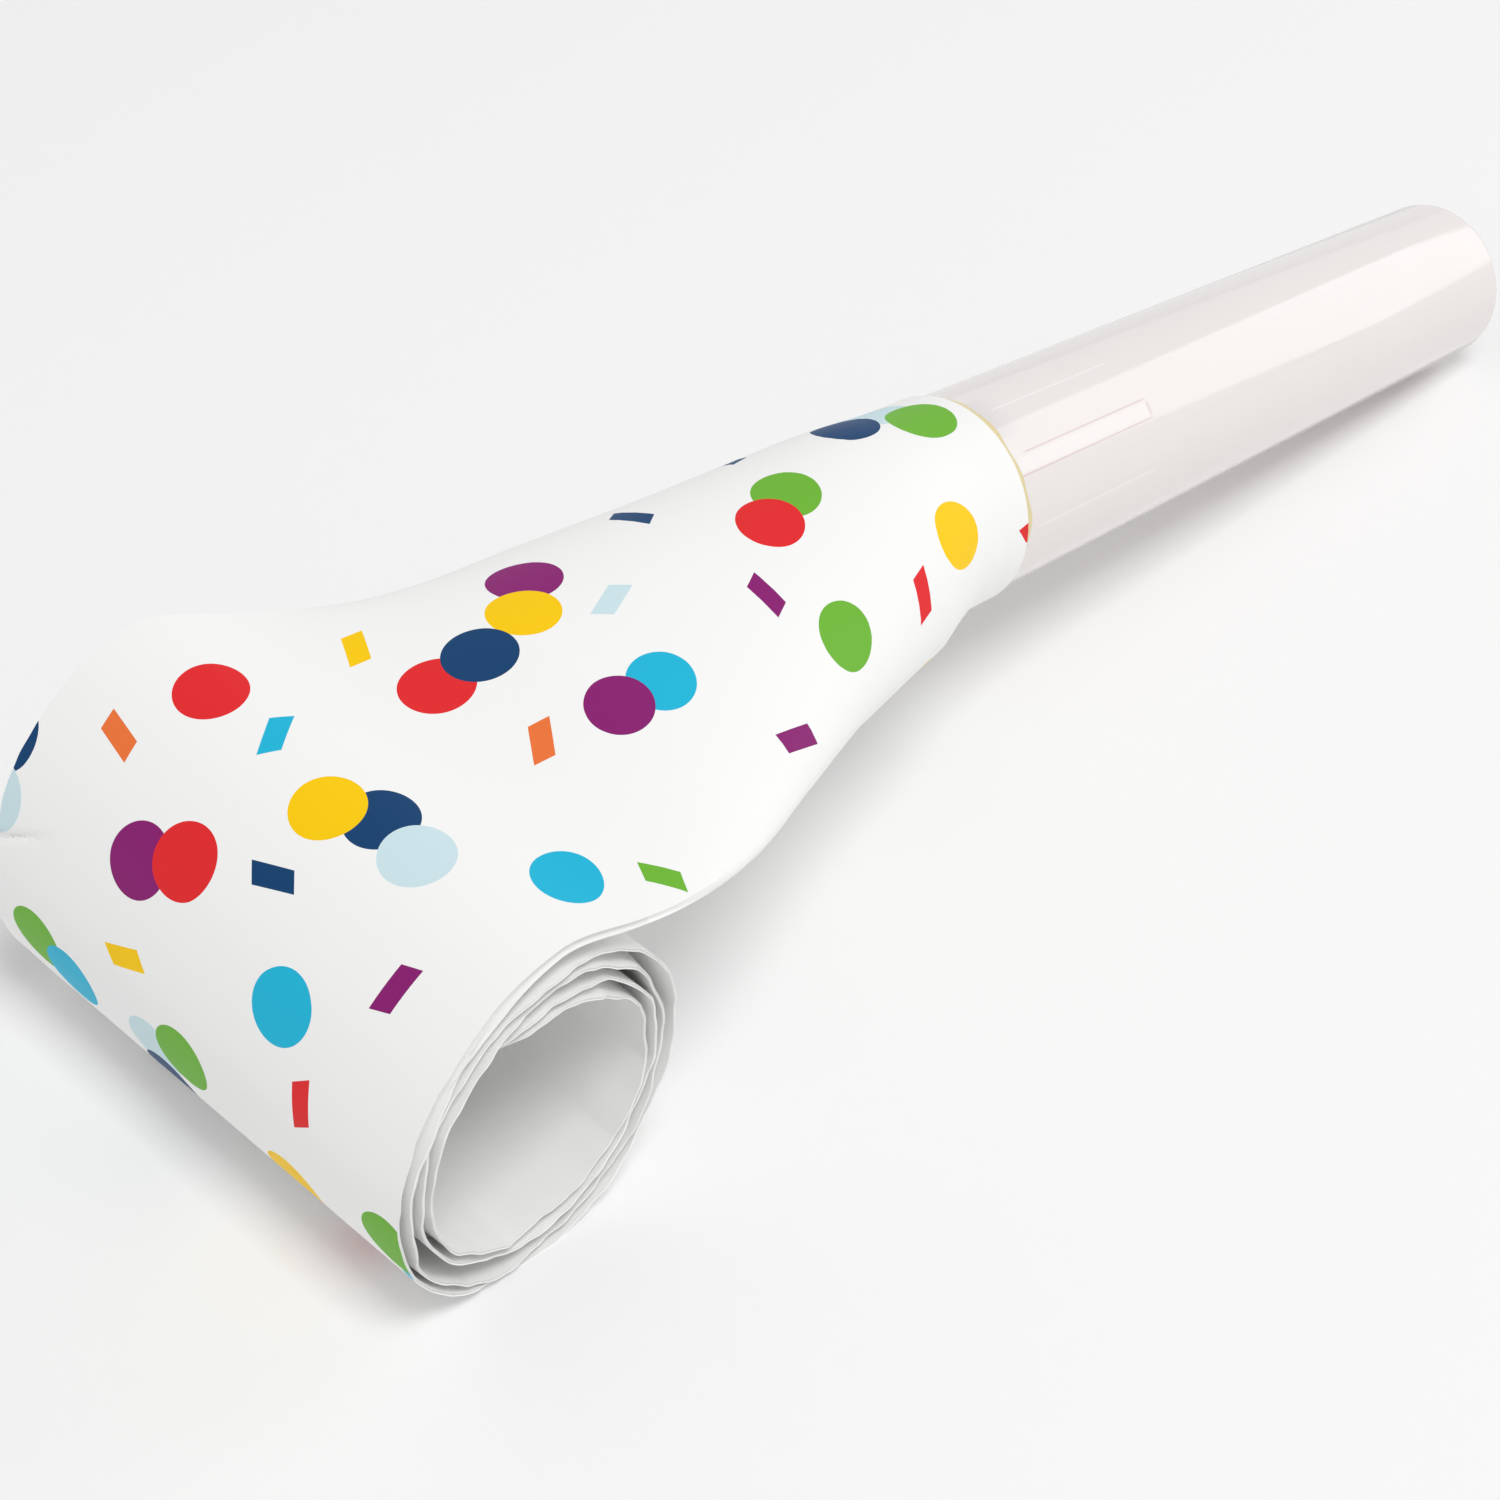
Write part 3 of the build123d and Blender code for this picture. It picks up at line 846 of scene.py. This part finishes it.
# Tip of the strip: pressed flat, folded in and back along its inner face, and closed at the fold's end
back_start = PANEL_COUNT + FOLD_TURN
fold_end = back_start + FOLD_LENGTH / (lengths[PANEL_COUNT] - lengths[PANEL_COUNT - 1])
tip_levels = [(PANEL_COUNT - 0.5 + 0.5 * k / TIP_STEPS, 0.0) for k in range(TIP_STEPS + 1)]
tip_levels += [(PANEL_COUNT + FOLD_TURN * k / TURN_STEPS, 0.0) for k in range(1, TURN_STEPS)]
tip_levels += [(back_start + (fold_end - back_start) * k / TIP_STEPS, 0.0) for k in range(TIP_STEPS + 1)]
tip_mesh = paper_tube(tip_levels)
last_edges = [edge for edge in tip_mesh.edges if edge.verts[0].select and edge.verts[1].select]
bmesh.ops.edgeloop_fill(tip_mesh, edges=[edge for edge in last_edges if edge.is_boundary])
tip = new_piece("paper_tip", tip_mesh, paper)
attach(tip, body_name(PANEL_COUNT))
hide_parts("end_fold")


def mouth_tube():
    """Wall of the mouthpiece, turned round the horn's axis, with a rounded lip."""
    bm = bmesh.new()
    wall_middle = (LIP_RADIUS + BORE_RADIUS) / 2
    lip_half = (LIP_RADIUS - BORE_RADIUS) / 2
    profile = [(-SPIGOT_LENGTH, spigot_radius(-SPIGOT_LENGTH))]
    for k in range(LIP_ARC_STEPS + 1):
        turn = math.pi / 2 - math.pi * k / LIP_ARC_STEPS
        x = MOUTH_LENGTH - lip_half + lip_half * math.cos(turn)
        profile.append((x, wall_middle + lip_half * math.sin(turn)))
    profile += [(SEAT_END + SEAT_STEP, BORE_RADIUS), (SEAT_END, SEAT_RADIUS)]
    profile.append((-SPIGOT_LENGTH, SEAT_RADIUS))
    verts = [bm.verts.new((x, 0, r)) for x, r in profile]
    edges = [bm.edges.new((a, b)) for a, b in zip(verts, verts[1:] + verts[:1])]
    bmesh.ops.spin(
        bm,
        geom=verts + edges,
        cent=(0, 0, 0),
        axis=(1, 0, 0),
        angle=2 * math.pi,
        steps=ROUND_STEPS,
        use_merge=True,
    )
    bmesh.ops.remove_doubles(bm, verts=bm.verts, dist=FINE_WELD / MM)
    bmesh.ops.recalc_face_normals(bm, faces=bm.faces)
    bmesh.ops.transform(bm, matrix=TO_TABLE, verts=bm.verts)
    return bm


mouth = new_piece("mouth_tube", mouth_tube(), polypropylene)
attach(mouth, "horn")
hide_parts("mouthpiece")

# Glue: the bead reaches out from the paper's edge and swells over the mouthpiece. It is strongest at
# BEAD_STRONG from the top, and has LEAST_REACH and LEAST_SWELL of that on the other side. Its waves
# are counted in turns. Its section is places along the tube and heights: places before the edge are
# shares of the reach, and heights over GLUE_LIFT are shares of the swell.
BEAD_REACH = 0.6
BEAD_HEIGHT = 0.2
BEAD_STRONG = math.radians(15)
BEAD_FADE = (-0.6, 0.9)
LEAST_REACH = 0.35
LEAST_SWELL = 0.7
REACH_WAVES = [(0.1, 1 / 5, 0.2), (0.07, 1 / 13, 0.6)]
SWELL_WAVES = [(0.02, 1 / 7, 0.4), (0.01, 1 / 17, 0.1)]
GLUE_SECTION = [
    (-COLLAR_LENGTH, 0.0),
    (-COLLAR_LENGTH, GLUE_LIFT),
    (-0.4, GLUE_LIFT),
    (-0.1, 0.95),
    (0.15, 0.9),
    (0.4, 0.7),
    (0.65, 0.42),
    (0.85, 0.16),
    (1.0, 0.0),
    (0.0, 0.0),
]


def glue_bead():
    """Glue under the collar, and the uneven bead that it was squeezed to along the paper's edge."""
    bm = bmesh.new()
    last = len(GLUE_SECTION)
    bmesh.ops.create_grid(bm, x_segments=ROUND_STEPS, y_segments=last, size=1)
    for vert in bm.verts:
        share, height = GLUE_SECTION[round((vert.co.y + 1) / 2 * last) % last]
        angle = math.pi * vert.co.x
        turns = angle / (2 * math.pi)
        upper = smoothstep(*BEAD_FADE, math.cos(angle - BEAD_STRONG))
        reach = BEAD_REACH * (LEAST_REACH + (1 - LEAST_REACH) * upper) + ripple(turns, REACH_WAVES)
        swell = BEAD_HEIGHT * (LEAST_SWELL + (1 - LEAST_SWELL) * upper) + ripple(turns, SWELL_WAVES)
        x = share * reach if share > 0 else share
        lift = height * swell if height > GLUE_LIFT else height
        radius = spigot_radius(x) + lift
        vert.co = place(x, -radius * math.sin(angle), radius * math.cos(angle))
    bmesh.ops.remove_doubles(bm, verts=bm.verts, dist=FINE_WELD)
    bmesh.ops.recalc_face_normals(bm, faces=bm.faces)
    return bm


glue = new_piece("glue_bead", glue_bead(), hot_glue)
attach(glue, "horn")
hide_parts("glue_band")

# Reed: its holder, clamp and tongue keep their solids
for node, finish in (
    ("reed_holder", polystyrene),
    ("reed_clamp", polystyrene),
    ("reed_tongue", polyester),
):
    mesh = frame["nodes"][node].data
    mesh.materials.clear()
    mesh.materials.append(finish)

# Studio: a white floor that keeps the shadow, white all round, a key above and a softbox at the lip's
# side, in metres and watts
FLOOR_HALF_SIZE = 3
TABLE_WHITE = "#FBFBFB"
TABLE_ROUGHNESS = 0.9
WORLD_FILL = 0.55
bm = bmesh.new()
bmesh.ops.create_grid(bm, x_segments=1, y_segments=1, size=FLOOR_HALF_SIZE)
floor_mesh = bpy.data.meshes.new("floor")
bm.to_mesh(floor_mesh)
bm.free()
floor = bpy.data.objects.new("floor", floor_mesh)
bpy.context.scene.collection.objects.link(floor)
floor_finish, _, shader = new_finish("white_table")
shader.inputs["Base Color"].default_value = hex_colour(TABLE_WHITE)
shader.inputs["Roughness"].default_value = TABLE_ROUGHNESS
floor_mesh.materials.append(floor_finish)

world = bpy.data.worlds.new("studio")
bpy.context.scene.world = world
world.use_nodes = True
tree = world.node_tree
back = tree.nodes["Background"]
path = add(tree, "ShaderNodeLightPath").outputs
seen = path["Is Camera Ray"]
for ray in ("Is Glossy Ray", "Is Transmission Ray"):
    seen = add(tree, "ShaderNodeMath", {0: seen, 1: path[ray]}, operation="MAXIMUM").outputs[0]
strength = add(tree, "ShaderNodeMapRange", {0: seen, 3: WORLD_FILL, 4: 1.0})
tree.links.new(strength.outputs[0], back.inputs["Strength"])
back.inputs["Color"].default_value = (1, 1, 1, 1)


def softbox(name, centre, across, size, watts):
    """Rectangular lamp that faces the middle of the horn, with its first side along a direction."""
    data = bpy.data.lights.new(name, "AREA")
    data.shape = "RECTANGLE"
    data.size, data.size_y = size
    data.energy = watts
    lamp = bpy.data.objects.new(name, data)
    bpy.context.scene.collection.objects.link(lamp)
    away = Vector(centre).normalized()
    first = (Vector(across) - away * away.dot(Vector(across))).normalized()
    lamp.location = centre
    lamp.rotation_euler = Matrix((first, away.cross(first), away)).transposed().to_euler()


softbox("key", (-0.12, -0.26, 0.69), (1.0, 0.0, 0.0), (0.24, 0.24), 2.12)
softbox("side", (0.486, -0.112, 0.192), (0.067, 0.926, 0.372), (0.37, 0.28), 0.44)

# Camera: its place in the horn's frame, its turns in degrees, its lens and its frame
CAMERA_PLACE = (-156.640, -103.041, 111.953)
CAMERA_TURN = (53.857, -9.9411, -46.8988)
CAMERA_LENS = 84
CAMERA_FRAME = 36
camera_data = bpy.data.cameras.new("camera")
camera_data.lens = CAMERA_LENS
camera_data.sensor_width = CAMERA_FRAME
camera = bpy.data.objects.new("camera", camera_data)
bpy.context.scene.collection.objects.link(camera)
camera.location = place(*CAMERA_PLACE)
camera_turn = Euler([math.radians(turn) for turn in CAMERA_TURN])
camera.rotation_euler = (LAID.to_3x3() @ camera_turn.to_matrix()).to_euler()
bpy.context.scene.camera = camera
bpy.context.scene.view_settings.view_transform = "Standard"
